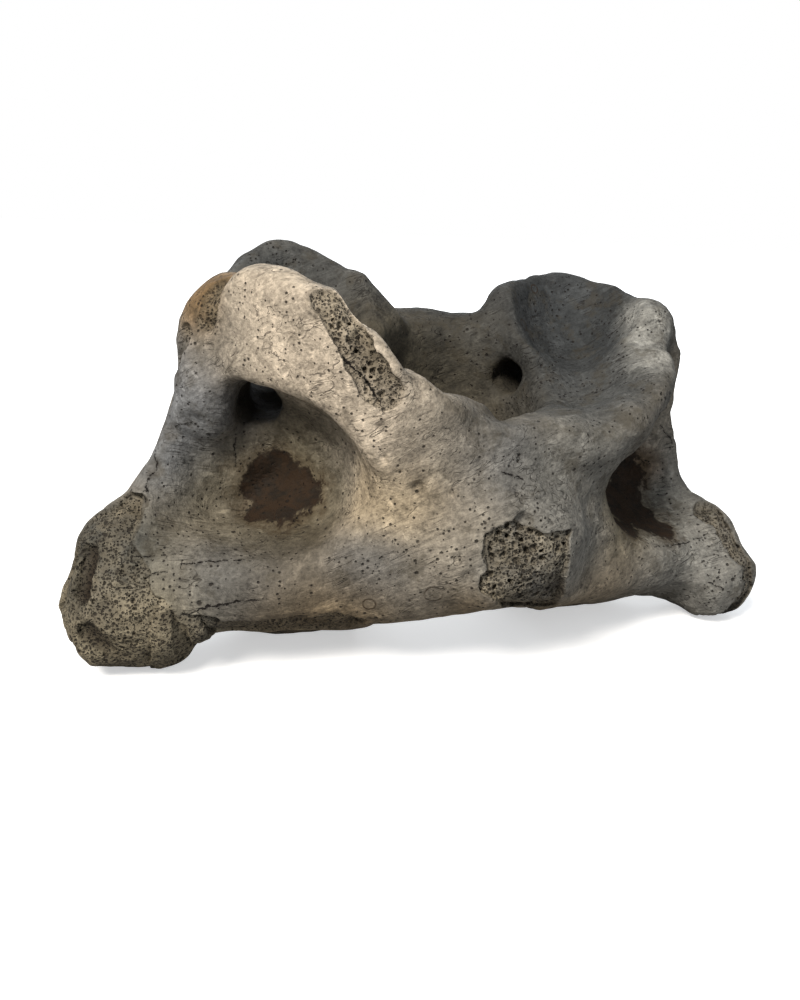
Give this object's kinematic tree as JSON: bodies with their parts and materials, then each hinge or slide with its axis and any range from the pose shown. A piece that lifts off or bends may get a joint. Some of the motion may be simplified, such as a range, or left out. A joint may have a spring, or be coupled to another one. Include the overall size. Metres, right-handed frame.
{
  "type": "cow atlas vertebra",
  "caption": "First neck vertebra of a cow, a dry weathered bone that stands on its caudal end, with cranial cups, wings and an open vertebral canal.",
  "frame": {"origin": "under the middle of the bone's plan, on the surface that it stands on", "axes": "+Z is cranial and up, +Y is dorsal, -Y is ventral and faces the front, and the wings reach out along X, the left one of the picture towards -X"},
  "size_m": [0.1514, 0.0674, 0.0789],
  "materials": {
    "weathered_bone": "dry weathered bone: matt grey with cream ridges and brown hollows, fine grain, cracks and pores, and open spongy bone along the broken edges"
  },
  "bodies": {
    "root": {"atlas": "weathered_bone"}
  },
  "joints": []
}
